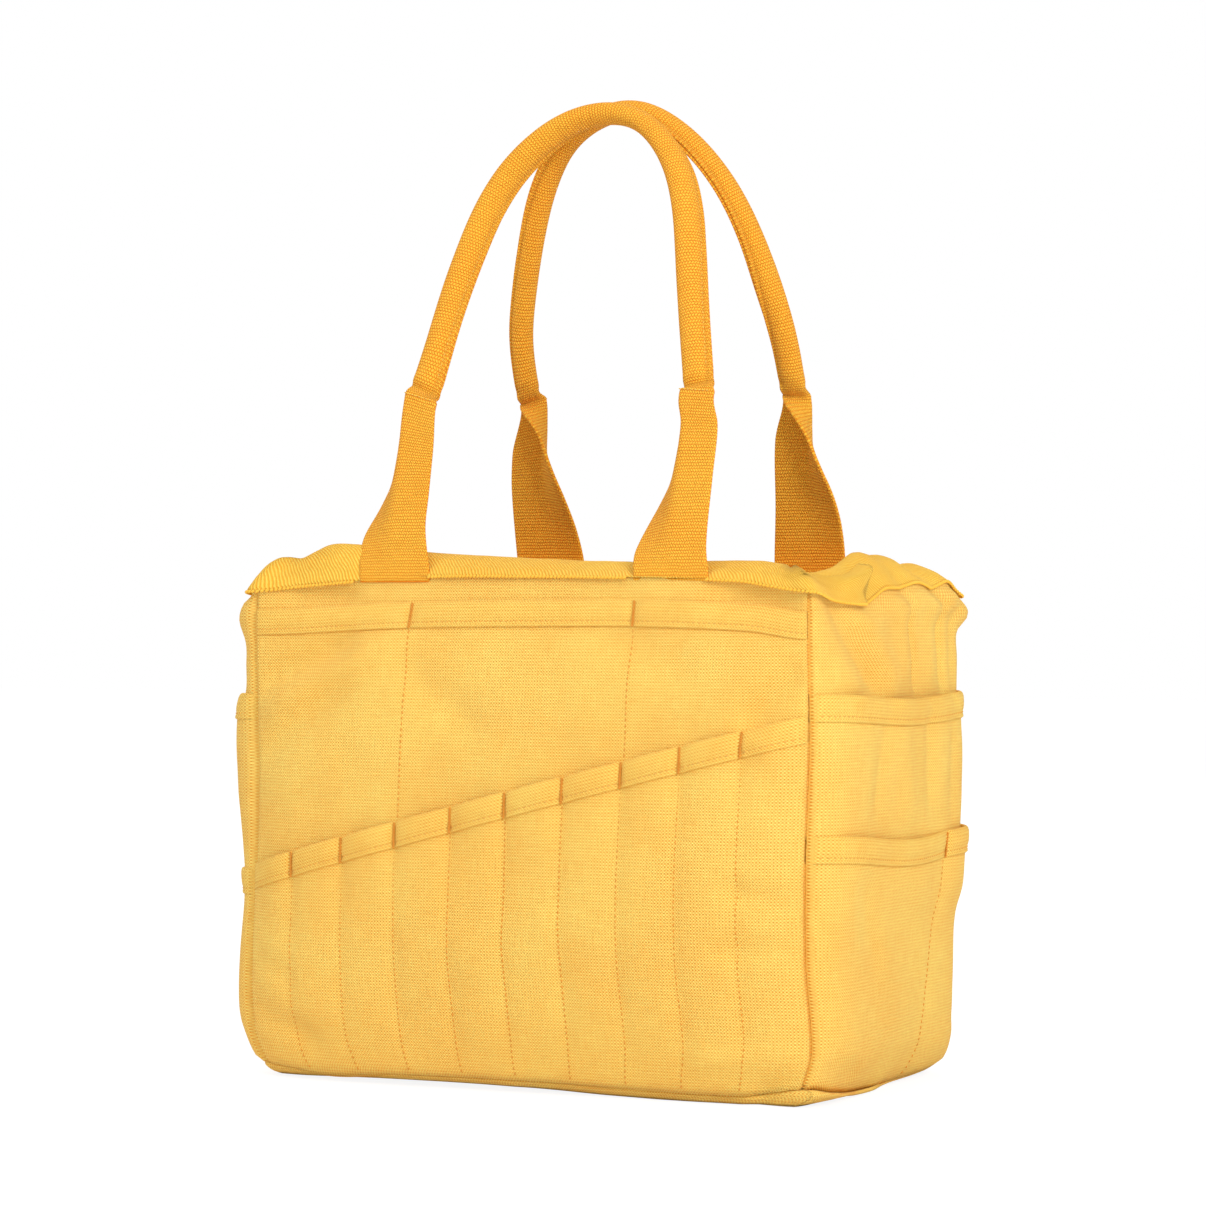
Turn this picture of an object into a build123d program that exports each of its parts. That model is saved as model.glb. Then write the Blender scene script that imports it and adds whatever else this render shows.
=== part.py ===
"""A canvas garden tool bag: a soft box with outside pockets, a tape rim and two webbing handles.

Frame: millimetres, +Z up, origin at the centre of the base's underside. The front, with the slanted
row of tool slots, faces -Y. Every wall and pocket is drawn on the front wall first, and is then
turned about Z to the wall that it belongs to.
"""
import os
from math import asin, atan2, cos, degrees, hypot, radians, sin, sqrt, tan

from build123d import *

# ---- the canvas box -------------------------------------------------------------------------
bag_width = 292.0          # along X, outside the canvas
bag_depth = 164.0          # along Y, outside the canvas
bag_height = 235.0         # up to the seam between canvas and rim tape
canvas = 1.2               # thickness of the panel cloth
base_rim_height = 8.0      # the base panel turns up this far to meet the walls
seam_allowance = 14.0      # turned-in cloth of a corner seam, along the corner's diagonal

# ---- tapes ----------------------------------------------------------------------------------
binding = 0.8              # thickness of the pocket and seam bindings
hem_height = 12.0          # how far a binding comes down a pocket's top edge
seam_binding_leg = 8.0     # how far a binding covers a seam allowance
base_tape_height = 9.0     # tape over the base seam, inside
base_tape_low = 4.0        # its lower edge
rim_tape = 1.4             # thickness of the rim tape
rim_tape_width = 22.0      # the part above the seam
rim_tape_leg = 10.0        # the part sewn inside, below the seam
rim_lean = 35.0            # degrees that the rim tape leans in over the mouth

# ---- pockets: heights are to the top of the cloth, under the binding's fold -------------------
slot_count = 10            # tool slots across the front
wide_pocket_height = 224.0
slant_low_height = 100.5   # the slanted pocket's top at the bag's left
slant_high_height = 174.5  # and at its right
wide_gap = 6.0             # room behind a pocket that lies on a wall
slot_gap = 6.0             # room behind a pocket that lies on another pocket
wide_dividers = (3, 7)     # the tool-slot lines that are sewn through every layer
side_upper_height = 182.0
right_lower_height = 118.0
left_lower_height = 98.0
side_divider = 38.0        # from the middle of a side, towards the back
back_pocket_height = 190.0
groove_half = 2.2          # half of a divider's pinch in a pocket on a wall
landing_half = 4.0         # half of a divider's landing in a pocket on another pocket
slot_slope = 4.0           # run of a slot's slanted flank
bar_tack = 0.6             # thickness of a bar tack's thread
bar_tack_width = 1.2
grip_tack_drop = 2.0       # from the grip's end down to the stitches across it

# ---- handles --------------------------------------------------------------------------------
webbing_width = 38.0
webbing = 2.0              # thickness
handle_spacing = 145.0     # between the middles of a handle's two tails
tail_length = 97.0         # flat webbing from the seam to the grip
tail_overlap = 6.0         # of flat webbing lying on the grip's end
grip_leg_lean = 12.0       # degrees that the grip's legs close towards the top
grip_bend = 51.0           # radius of the grip's top, to the middle of the tube
core_diameter = 9.0        # cord inside the grip
core_clearance = 0.3
core_end_gap = 3.0         # from the grip's end to the cord's end
grip_proud = 0.6           # the grip stands this far in front of the tails' faces
flange_height = 4.0        # the webbing's two edges, sewn together inside the grip
meeting = 13.5             # the handles lean together this far behind the bag's middle
nesting = 2.0              # each grip's sewn edge passes that line, the front's below the back's
seam_clearance = 0.3       # between a moving tail and the rim
hinge_ahead = 0.2          # of the fold line, in front of the tail's face
sewn_tail_length = 12.0    # webbing caught inside, below the seam

half_width, half_depth = bag_width / 2, bag_depth / 2
slot_pitch = bag_width / slot_count
wall_low = base_rim_height
grip_radius = core_diameter / 2 + core_clearance + webbing
FRONT, RIGHT, BACK, LEFT = 0, 90, 180, -90


# ---- drawing aids ---------------------------------------------------------------------------
def block(x, y, z):
    """A box from its three (low, high) ranges."""
    size = [high - low for low, high in (x, y, z)]
    centre = [(high + low) / 2 for low, high in (x, y, z)]
    return Pos(*centre) * Box(*size)


def prism(corners, way, length):
    """A solid from a flat outline of 3-D corners, drawn out along a direction."""
    return extrude(make_face(Polyline(*corners, close=True)), amount=length, dir=way)


def plan(corners, low, high):
    """A solid of one outline seen from above, between two heights."""
    return prism([(x, y, low) for x, y in corners], (0, 0, 1), high - low)


def turned(solid, angle):
    """A solid drawn on the front wall, turned to another wall."""
    return Rot(0, 0, angle) * solid


def reach(angle):
    """(half length of a wall, distance of its outer face from the middle)."""
    on_ends = angle in (LEFT, RIGHT)
    return (half_depth, half_width) if on_ends else (half_width, half_depth)


# ---- panels ---------------------------------------------------------------------------------
def wall(angle):
    """A wall panel with its two seam allowances turned in along the corners' diagonals."""
    half, out = reach(angle)
    step = 1 / sqrt(2)
    tip = (half - seam_allowance * step, seam_allowance * step)
    under = (tip[0] - canvas * step, tip[1] - canvas * step)
    root = (half - canvas * (1 + sqrt(2)), canvas)
    right = [(half, 0.0), tip, under, root]
    left = [(-x, y) for x, y in reversed(right)]
    outline = [(x, y - out) for x, y in right + left]
    return turned(plan(outline, wall_low, bag_height), angle)


def base_panel():
    """The base: a flat bottom with a rim that turns up to the walls."""
    outside = block((-half_width, half_width), (-half_depth, half_depth), (0, base_rim_height))
    inside = block(
        (canvas - half_width, half_width - canvas),
        (canvas - half_depth, half_depth - canvas),
        (canvas, base_rim_height),
    )
    return outside - inside


def seam_binding(x_side, y_side):
    """The tape folded over one corner seam, inside the bag."""
    low, high = seam_allowance - seam_binding_leg, seam_allowance + binding
    outer, inner = canvas + binding, canvas
    folded = [
        (low, -outer), (high, -outer), (high, outer), (low, outer),
        (low, inner), (seam_allowance, inner), (seam_allowance, -inner), (low, -inner),
    ]
    # "along" runs from the corner into the bag, "across" is square to it
    outline = [
        (
            x_side * (half_width - (along + across) / sqrt(2)),
            y_side * (half_depth - (along - across) / sqrt(2)),
        )
        for along, across in folded
    ]
    return plan(outline, wall_low, bag_height - rim_tape_leg)


def base_seam_tape():
    """Four strips inside that cover the seam between the base and the walls."""
    strips = []
    for angle in (FRONT, RIGHT, BACK, LEFT):
        half, out = reach(angle)
        face = canvas - out
        strip = block(
            (seam_allowance - half, half - seam_allowance),
            (face, face + binding),
            (base_tape_low, base_tape_low + base_tape_height),
        )
        strips.append(turned(strip, angle))
    return Compound(children=strips)


def rim(angle):
    """The tape at the top of one wall: a leg sewn inside, and a strip leaning in, mitred at its ends."""
    half, out = reach(angle)
    lean = radians(rim_lean)
    in_, up = rim_tape_width * sin(lean), rim_tape_width * cos(lean)
    thick = rim_tape / cos(lean)
    inner = canvas + rim_tape
    knee = (inner - thick) / tan(lean)
    section = [(0, 0), (in_, up), (in_ + thick, up), (inner, knee), (inner, 0)]
    strip = prism([(-half, y - out, z + bag_height) for y, z in section], (1, 0, 0), 2 * half)
    far = in_ + thick + 1
    mitre = plan(
        [(-half, -out), (half, -out), (half - far, far - out), (far - half, far - out)],
        bag_height - 1,
        bag_height + up + 1,
    )
    leg = block(
        (seam_allowance - half, half - seam_allowance),
        (canvas - out, inner - out),
        (bag_height - rim_tape_leg, bag_height),
    )
    return turned((strip & mitre) + leg, angle)


# ---- pockets --------------------------------------------------------------------------------
class Pocket:
    """A pocket on one wall: cloth that stands off by a gap between its seams, and a bound top edge.

    seams are places along the wall, back is the distance from the wall's outer face to what the
    pocket lies on, and tops are the cloth's heights at its first and last seam.
    """

    def __init__(self, angle, seams, back, gap, pinch, slope, tops):
        self.angle, self.seams, self.back, self.gap = angle, seams, back, gap
        self.pinch, self.slope, self.tops = pinch, slope, tops
        self.out = reach(angle)[1]
        # sideways shift that keeps a slanted flank as thick as the cloth
        self.shift = canvas * (sqrt(slope**2 + gap**2) - slope) / gap

    def bays(self):
        """(first, last) of each bay's inside at the cloth behind it, between the pinches."""
        last = len(self.seams) - 1
        edge = self.shift if self.slope == 0 else self.pinch
        return [
            (
                self.seams[i] + (edge if i == 0 else self.pinch),
                self.seams[i + 1] - (edge if i + 1 == last else self.pinch),
            )
            for i in range(last)
        ]

    def top(self, x):
        """Height of the cloth's top edge at a place along the wall."""
        share = (x - self.seams[0]) / (self.seams[-1] - self.seams[0])
        return self.tops[0] + share * (self.tops[1] - self.tops[0])

    def depth(self, w):
        """The Y of a distance out from what the pocket lies on."""
        return -(self.out + self.back + w)

    def slab(self, span, low, high, near, far):
        """A plate between two distances out, with its lower and upper edge along the top's slant."""
        corners = [
            (span[0], self.top(span[0]) + low), (span[1], self.top(span[1]) + low),
            (span[1], self.top(span[1]) + high), (span[0], self.top(span[0]) + high),
        ]
        return prism([(x, self.depth(near), z) for x, z in corners], (0, -1, 0), far - near)

    def cloth(self):
        """The pocket's cloth, with its closed bottom."""
        face, outer, inner = self.gap + canvas, [(self.seams[0], canvas)], [(self.seams[0], 0)]
        for first, last in self.bays():
            a, b = first + self.slope, last - self.slope
            outer += [(first - self.shift, canvas), (a - self.shift, face)]
            outer += [(b + self.shift, face), (last + self.shift, canvas)]
            inner += [(first, 0), (a, self.gap), (b, self.gap), (last, 0)]
        outer.append((self.seams[-1], canvas))
        inner.append((self.seams[-1], 0))
        if self.slope == 0:  # upright ends: the first and last corner are the flank's own
            outer = [(self.seams[0], 0)] + outer[2:-2] + [(self.seams[-1], 0)]
            inner = inner[1:-1]
        ceiling = max(self.tops) + 1
        ring = [(x, self.depth(w)) for x, w in outer + inner[::-1]]
        filled = [(x, self.depth(w)) for x, w in outer]
        if self.slope:
            filled += [(self.seams[-1], self.depth(0)), (self.seams[0], self.depth(0))]
        body = plan(ring, wall_low, ceiling) + plan(filled, wall_low, wall_low + canvas)
        ends = (self.seams[0] - 1, self.seams[-1] + 1)
        above = self.slab(ends, 0, ceiling, -1, face + 1)
        return turned(body - above, self.angle)

    def bound_spans(self):
        """The flat face of each bay, where the binding lies."""
        return [(a + self.slope, b - self.slope) for a, b in self.bays()]

    def hem(self):
        """The binding over the top edge, one length for each bay."""
        near, far = self.gap - binding, self.gap + canvas + binding
        lengths = [
            self.slab(span, -hem_height, binding, near, far)
            - self.slab(span, -hem_height, 0, self.gap, self.gap + canvas)
            for span in self.bound_spans()
        ]
        return turned(Compound(children=lengths), self.angle)

    def bar_tacks(self):
        """The dense stitches at the top of each divider."""
        tacks = []
        for seam in self.seams[1:-1]:
            span = (seam - bar_tack_width / 2, seam + bar_tack_width / 2)
            tack = self.slab(span, -hem_height, -binding, canvas, canvas + bar_tack)
            tacks.append(turned(tack, self.angle))
        return tacks


def pockets():
    """Every pocket by name, the ones on the canvas before the ones on another pocket."""
    on_wall = dict(back=0.0, gap=wide_gap, pinch=groove_half, slope=0.0)
    on_pocket = dict(back=wide_gap + canvas, gap=slot_gap, pinch=landing_half, slope=slot_slope)
    slots = [i * slot_pitch - half_width for i in range(slot_count + 1)]
    found = {
        "front_wide_pocket": Pocket(
            FRONT, [slots[i] for i in (0, *wide_dividers, slot_count)],
            tops=(wide_pocket_height, wide_pocket_height), **on_wall,
        ),
        "front_slant_pocket": Pocket(
            FRONT, slots, tops=(slant_low_height, slant_high_height), **on_pocket,
        ),
        "back_wide_pocket": Pocket(
            BACK, [-half_width, 0.0, half_width],
            tops=(back_pocket_height, back_pocket_height), **on_wall,
        ),
    }
    # seen from outside, the back is on the right of the bag's right side and on the left of its left
    sides = (
        ("right", RIGHT, side_divider, right_lower_height),
        ("left", LEFT, -side_divider, left_lower_height),
    )
    for side, angle, divider, lower in sides:
        found[f"{side}_upper_pocket"] = Pocket(
            angle, [-half_depth, half_depth], tops=(side_upper_height, side_upper_height), **on_wall,
        )
        found[f"{side}_lower_pocket"] = Pocket(
            angle, [-half_depth, divider, half_depth],
            tops=(lower, lower), **on_pocket,
        )
    return found


# ---- handles --------------------------------------------------------------------------------
class Handle:
    """One handle, drawn flat on the front, leaned about the seam by its reach, and turned to its wall.

    Flat, X runs along the bag, Z is the distance up the webbing from the seam, and Y is 0 on the
    canvas's outer face, negative outwards.
    """

    def __init__(self, angle, inward_reach):
        self.angle = angle
        self.face = -(seam_clearance + webbing)           # the webbing's outer face
        self.middle = self.face - grip_proud + grip_radius  # the middle of the grip's tube
        self.foot = handle_spacing / 2
        slope = radians(grip_leg_lean)
        self.shoulder_x = grip_bend * cos(slope)
        self.shoulder_z = tail_length + (self.foot - self.shoulder_x) / tan(slope)
        self.centre_z = self.shoulder_z - grip_bend * sin(slope)
        self.top_z = self.centre_z + grip_bend
        # the innermost point is the flange's edge at the top of the bend
        self.flange_edge = self.middle + grip_radius + flange_height
        high = self.top_z + webbing
        far = hypot(high, self.flange_edge)
        self.lean = degrees(asin(inward_reach / far) - atan2(self.flange_edge, high))

    def placed(self, solid):
        """A flat solid, leaned in and turned to its wall."""
        leaned = Pos(0, -half_depth, bag_height) * Rot(-self.lean, 0, 0) * solid
        return turned(leaned, self.angle)

    def hinge(self):
        """A point on the fold line that the handle swings about."""
        at = Vector(0, self.face - hinge_ahead, 0).rotate(Axis.X, -self.lean)
        at += Vector(0, -half_depth, bag_height)
        return at.rotate(Axis.Z, self.angle)

    def line(self, y, shorten=0.0):
        """The grip's middle line at one Y: leg, bend and leg, with its ends moved up the legs."""
        slope = radians(grip_leg_lean)
        foot_x = self.foot - shorten * sin(slope)
        foot_z = tail_length + shorten * cos(slope)
        left, right = (-self.shoulder_x, y, self.shoulder_z), (self.shoulder_x, y, self.shoulder_z)
        return Wire([
            Line((-foot_x, y, foot_z), left),
            ThreePointArc(left, (0, y, self.top_z), right),
            Line(right, (foot_x, y, foot_z)),
        ])

    def swept(self, y, section, shorten=0.0):
        """A section drawn out along the grip's line. It is drawn square to the first leg."""
        line = self.line(y, shorten)
        start = Plane(origin=line @ 0, x_dir=(0, 1, 0), z_dir=line % 0)
        return sweep(start * section, path=line)

    def tail(self, side):
        """A flat tail, as wide as the webbing at the seam and folded to half at the grip."""
        x = side * self.foot
        wide, narrow = webbing_width / 2, webbing_width / 4
        outline = [
            (x - wide, seam_clearance), (x + wide, seam_clearance),
            (x + narrow, tail_length), (x + narrow, tail_length + tail_overlap),
            (x - narrow, tail_length + tail_overlap), (x - narrow, tail_length),
        ]
        return prism([(a, self.face, b) for a, b in outline], (0, 1, 0), webbing)

    def webbing_piece(self):
        """The whole handle strap: two flat tails and the folded, sewn grip between them."""
        bore = grip_radius - webbing
        tube = self.swept(self.middle, Circle(grip_radius))
        flange_depth = flange_height + webbing / 2
        flange_y = self.flange_edge - flange_depth / 2
        flange = self.swept(flange_y, Rectangle(flange_depth, 2 * webbing))
        hollow = self.swept(self.middle, Circle(bore))
        solid = tube + flange + self.tail(-1) + self.tail(1)
        return self.placed(solid - hollow)

    def core(self):
        """The cord inside the grip."""
        return self.placed(self.swept(self.middle, Circle(core_diameter / 2), core_end_gap))

    def tacks(self):
        """The line of stitches across each end of the grip."""
        top = tail_length - grip_tack_drop
        y, z = (self.face - bar_tack, self.face), (top - bar_tack_width, top)
        half = webbing_width / 4
        bars = [block((x - half, x + half), y, z) for x in (-self.foot, self.foot)]
        return Compound(children=[self.placed(bar) for bar in bars])

    def sewn_tails(self):
        """The ends of the webbing, caught inside the rim seam. They stay with the bag."""
        y = canvas + rim_tape - half_depth
        z = (bag_height - sewn_tail_length, bag_height)
        half = webbing_width / 2
        ends = [block((x - half, x + half), (y, y + webbing), z) for x in (-self.foot, self.foot)]
        return Compound(children=[turned(end, self.angle) for end in ends])


handles = {
    "front": Handle(FRONT, half_depth + meeting + nesting),
    "back": Handle(BACK, half_depth - meeting + nesting),
}


def build():
    """Every piece by its name."""
    made = {"base_panel": base_panel(), "base_seam_tape": base_seam_tape()}
    walls = {"front": FRONT, "right": RIGHT, "back": BACK, "left": LEFT}
    for name, angle in walls.items():
        panel = f"{name}_side_panel" if name in ("left", "right") else f"{name}_panel"
        made[panel] = wall(angle)
        made[f"{name}_rim_tape"] = rim(angle)
    for end, y_side in (("front", -1), ("back", 1)):
        for side, x_side in (("left", -1), ("right", 1)):
            made[f"{end}_{side}_seam_binding"] = seam_binding(x_side, y_side)
    tacks = []
    for name, pocket in pockets().items():
        made[name] = pocket.cloth()
        made[f"{name}_binding"] = pocket.hem()
        tacks += pocket.bar_tacks()
    made["pocket_bar_tacks"] = Compound(children=tacks)
    for name, handle in handles.items():
        made[f"{name}_handle_webbing"] = handle.webbing_piece()
        made[f"{name}_handle_core"] = handle.core()
        made[f"{name}_handle_tacks"] = handle.tacks()
        made[f"{name}_handle_sewn_tails"] = handle.sewn_tails()
    return made


if __name__ == "__main__":
    os.makedirs("parts", exist_ok=True)
    for name, piece in build().items():
        export_step(piece, f"parts/{name}.step")
    for name, handle in handles.items():
        print(name, "handle swings about", handle.hinge())
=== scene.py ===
"""A canvas garden tool bag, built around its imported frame.

Lengths in this file are millimetres until a mesh is made, and then metres. Every wall has its own
coordinates: t runs from -1 to 1 along it, left to right as seen from outside, and z is the height.
"""
from math import cos, exp, hypot, pi, radians, sin, sqrt

import bmesh
import bpy
from mathutils import Matrix, Vector, noise


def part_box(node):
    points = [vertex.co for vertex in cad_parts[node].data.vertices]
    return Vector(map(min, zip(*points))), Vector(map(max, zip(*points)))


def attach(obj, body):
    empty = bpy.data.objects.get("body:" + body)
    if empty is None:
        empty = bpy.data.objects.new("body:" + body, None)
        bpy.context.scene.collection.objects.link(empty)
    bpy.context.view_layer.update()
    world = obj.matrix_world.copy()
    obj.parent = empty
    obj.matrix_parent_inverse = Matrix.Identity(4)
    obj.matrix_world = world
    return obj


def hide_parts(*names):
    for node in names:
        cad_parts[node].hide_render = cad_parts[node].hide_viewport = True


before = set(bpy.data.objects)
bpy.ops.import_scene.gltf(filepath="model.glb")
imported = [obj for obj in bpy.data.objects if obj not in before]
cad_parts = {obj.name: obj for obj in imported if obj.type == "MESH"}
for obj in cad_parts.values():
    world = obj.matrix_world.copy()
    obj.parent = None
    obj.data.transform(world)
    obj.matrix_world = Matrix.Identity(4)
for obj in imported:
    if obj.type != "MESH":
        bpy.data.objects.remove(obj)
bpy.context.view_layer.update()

MM = 0.001
WALLS = FRONT, RIGHT, BACK, LEFT = "front", "right", "back", "left"

# ---- sizes, taken from the frame where it has them ----
base_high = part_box("base_panel")[1]
half_width = base_high[0] / MM
half_depth = base_high[1] / MM
seam_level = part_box("front_panel")[1][2] / MM
full_height = 237.0  # the level of the top seam, to which the walls' profiles run
canvas = 1.2
pocket_canvas = 0.9
allowance = 13.0  # cloth turned in at a corner seam
hem = 11.5
slots = 10
stitch_pitch = 2.6
slot_seams = [2 * k / slots - 1 for k in range(slots + 1)]
wide_dividers = (-0.4, 0.4)
side_divider = 0.46
base_girth = 900.0  # the length right round the base, in its cloth's own measure
tail_place = 72.5  # from a wall's middle to the middle of each handle tail
webbing = 1.9
webbing_width = 38.0

ALONG = {
    FRONT: Vector((1, 0, 0)), RIGHT: Vector((0, 1, 0)),
    BACK: Vector((-1, 0, 0)), LEFT: Vector((0, -1, 0)),
}
OUT = {
    FRONT: Vector((0, -1, 0)), RIGHT: Vector((1, 0, 0)),
    BACK: Vector((0, 1, 0)), LEFT: Vector((-1, 0, 0)),
}
HALF = {FRONT: half_width, BACK: half_width, RIGHT: half_depth, LEFT: half_depth}


# ---- curves ----
def clamp(x, low=0.0, high=1.0):
    return max(low, min(high, x))


def ease(x):
    x = clamp(x)
    return x * x * (3 - 2 * x)


def through(x, stations):
    """A smooth curve through (place, value) stations, flat beyond its ends."""
    if x <= stations[0][0]:
        return stations[0][1]
    if x >= stations[-1][0]:
        return stations[-1][1]
    i = max(k for k in range(len(stations) - 1) if stations[k][0] <= x)
    (a, va), (b, vb) = stations[i], stations[i + 1]

    def slope(k):
        if k <= 0 or k >= len(stations) - 1:
            return 0.0
        (p, vp), (q, vq) = stations[k - 1], stations[k + 1]
        return (vq - vp) / (q - p)

    f = (x - a) / (b - a)
    span = b - a
    return (
        va * (1 + 2 * f) * (1 - f) ** 2 + vb * f * f * (3 - 2 * f)
        + slope(i) * span * f * (1 - f) ** 2 - slope(i + 1) * span * f * f * (1 - f)
    )


def crease(u, z, start, end, depth, width):
    """A soft fold along a line on a wall: how far it lifts the cloth at (u, z)."""
    (x0, z0), (x1, z1) = start, end
    run, rise = x1 - x0, z1 - z0
    long = hypot(run, rise)
    f = ((u - x0) * run + (z - z0) * rise) / long**2
    off = ((u - x0) * rise - (z - z0) * run) / long
    ends = ease((f + 0.25) / 0.45) * ease((1.25 - f) / 0.45)
    return depth * exp(-((off / width) ** 2)) * ends


# ---- the bag's form ----
FRONT_SEAM_Y = [(0, -83), (9, -85), (60, -88), (150, -88), (205, -88), (237, -87)]
CORNERS = {  # (x, y) of each corner seam by height
    "front_right": (
        [(0, 139), (9, 142), (26, 147), (67, 145), (110, 145), (175, 147), (237, 146)], FRONT_SEAM_Y,
    ),
    "front_left": (
        [(0, -135), (9, -140), (24, -145.5), (60, -145.5), (95, -143.5), (150, -142), (237, -144.5)],
        FRONT_SEAM_Y,
    ),
    "back_right": (
        [(0, 138), (9, 143), (20, 145), (30, 144), (70, 144), (80, 145), (92, 148), (105, 147.5),
         (150, 146.5), (205, 147.5), (219, 148), (228, 152.5), (237, 149)],
        [(0, 78), (9, 80), (30, 79), (70, 80), (105, 82), (150, 83.5), (205, 84), (219, 84), (228, 89),
         (237, 84)],
    ),
    "back_left": (
        [(0, -140), (9, -143), (30, -147), (150, -147), (205, -147), (226, -149), (237, -147)],
        [(0, 79), (9, 81), (60, 85), (150, 85), (205, 84), (226, 85), (237, 82)],
    ),
}
ENDS = {
    FRONT: ("front_left", "front_right"), RIGHT: ("front_right", "back_right"),
    BACK: ("back_right", "back_left"), LEFT: ("back_left", "front_left"),
}
TAB = {  # how much of the base's corner fold shows past each wall
    FRONT: [(0.86, 0), (1, 1)], BACK: [(0, 0), (1, 0)], LEFT: [(0, 0), (1, 0)],
    RIGHT: [(-1, 1), (-0.5, 0.9), (-0.2, 0.8), (0.3, 0.15), (1, 0)],
}
SEAM = {  # height of the canvas's top seam along each wall
    FRONT: [(-1, 232.5), (-0.84, 234.7), (-0.69, 236.4), (-0.36, 239.2), (0, 239.1), (0.33, 238.4),
            (0.75, 236.6), (0.85, 234.4), (1, 231.7)],
    RIGHT: [(-1, 231.7), (-0.85, 228.6), (-0.6, 226.3), (-0.42, 226.6), (-0.28, 230), (-0.16, 233.6),
            (0.05, 234), (0.28, 236.8), (0.5, 234), (0.74, 237.6), (1, 230)],
    BACK: [(-1, 230), (-0.8, 233), (-0.4, 234), (0, 233.5), (0.4, 234), (0.8, 234), (1, 232)],
    LEFT: [(-1, 232), (-0.7, 236.5), (-0.4, 233), (-0.1, 235.5), (0.2, 229.5), (0.5, 228), (0.8, 231),
           (1, 232.5)],
}
FOOT = {  # height of the seam between wall and base
    FRONT: [(-1, 6.5), (-0.75, 3.2), (-0.5, 5.2), (0, 6.1), (0.6, 4.6), (0.83, 5), (0.95, 8.2), (1, 8.7)],
    RIGHT: [(-1, 8.7), (-0.76, 5.7), (-0.4, 2.6), (0, 2.2), (0.8, 3.4), (1, 5)],
    BACK: [(-1, 5), (-0.6, 4.5), (0, 6), (0.6, 4.5), (1, 6)],
    LEFT: [(-1, 6), (-0.6, 4), (0, 3), (0.6, 4), (1, 6.5)],
}
BULGE = {  # (swell by height, how square it is along the wall) of each wall
    FRONT: ([(0, 4), (6, 6), (12, 7.5), (40, 11), (70, 13.6), (122, 14), (152, 12.6), (190, 7.6),
             (214, 1.2), (226, -2.6), (237, -4.8)], 6),
    RIGHT: ([(0, 3), (8, 5), (20, 7), (40, 8.5), (100, 9.5), (150, 10.5), (184, 9), (210, 8.5),
             (228, 7), (237, 3)], 8),
    BACK: ([(0, 3), (6, 4.5), (40, 8.2), (70, 10.2), (122, 10.5), (152, 9.5), (190, 5.8), (214, 2.0),
            (226, 0), (237, -1.6)], 6),
    LEFT: ([(0, 5), (10, 12), (30, 14.5), (60, 14.5), (88, 12.5), (107, 14.5), (126, 18), (145, 20.5),
            (174, 20), (190, 15), (203, 13.5), (213, 14.5), (224, 20), (231, 17), (237, 7)], 12),
}
RAISED = {  # how far the bottom edge stands off the ground
    FRONT: [(-1, 1.2), (-0.8, 1.6), (-0.5, 2.4), (0, 2.0), (0.3, 0.8), (0.6, 0.1), (1, 0)],
    RIGHT: [(-1, 0), (0, 0), (0.5, 0.6), (1, 1.4)],
    BACK: [(-1, 1.4), (0, 0.5), (1, 1)],
    LEFT: [(-1, 1), (0, 0.3), (1, 1.2)],
}


def seam_height(wall, t):
    return through(t, SEAM[wall])


def foot_height(wall, t):
    return through(t, FOOT[wall])


SIDE_FOLDS = (
    ((-66, 226), (-26, 188), -5.0, 7), ((-50, 228), (-10, 186), 2.4, 8), ((6, 238), (15, 188), -2.2, 3.2),
    ((-4, 236), (2, 190), 1.8, 7), ((44, 240), (49, 186), -2.4, 3.4), ((31, 238), (33, 190), 1.6, 6),
    ((66, 236), (62, 190), -2.0, 4), ((-70, 200), (-50, 186), 1.6, 6), ((-30, 172), (-36, 132), -1.6, 6),
    ((-12, 168), (4, 128), 1.4, 8), ((20, 175), (26, 130), -1.6, 5), ((50, 170), (54, 126), -1.4, 5),
    ((-50, 100), (-30, 60), -1.2, 8), ((10, 104), (30, 50), 1.0, 10), ((-76, 20), (-48, 12), -1.6, 5),
)
FOLDS = {  # (start, end, depth, width) of each wall's folds, from its middle and the ground
    FRONT: (
        ((-143, 188), (-92, 208), -2.6, 7), ((-143, 172), (-70, 207), 2.2, 8),
        ((-143, 152), (-95, 186), -1.8, 8), ((-60, 198), (-20, 168), -1.2, 9),
        ((-128, 231), (-92, 230), -2.6, 4), ((96, 230), (138, 226), -3.0, 5),
        ((60, 232), (100, 228), 1.0, 6), ((118, 172), (143, 196), -3.0, 7),
        ((128, 158), (143, 170), 1.6, 6), ((112, 98), (144, 92), -1.6, 5), ((108, 70), (144, 74), -1.4, 5),
        ((124, 7), (146, 15), -3.4, 3.5), ((96, 20), (146, 24), 1.2, 6), ((-143, 34), (-105, 20), -1.6, 7),
        ((-143, 58), (-118, 50), -1.0, 6), ((40, 214), (90, 196), -1.0, 9), ((-20, 60), (30, 84), 0.8, 12),
    ),
    BACK: (
        ((-143, 170), (-80, 207), -2.4, 9), ((143, 150), (70, 202), -2.2, 10),
        ((-130, 40), (-60, 24), -1.6, 8), ((60, 30), (143, 44), -1.6, 8),
        ((-30, 222), (60, 226), -1.8, 6), ((-60, 150), (-10, 120), -1.2, 12),
    ),
    RIGHT: SIDE_FOLDS, LEFT: SIDE_FOLDS,
}


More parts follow.
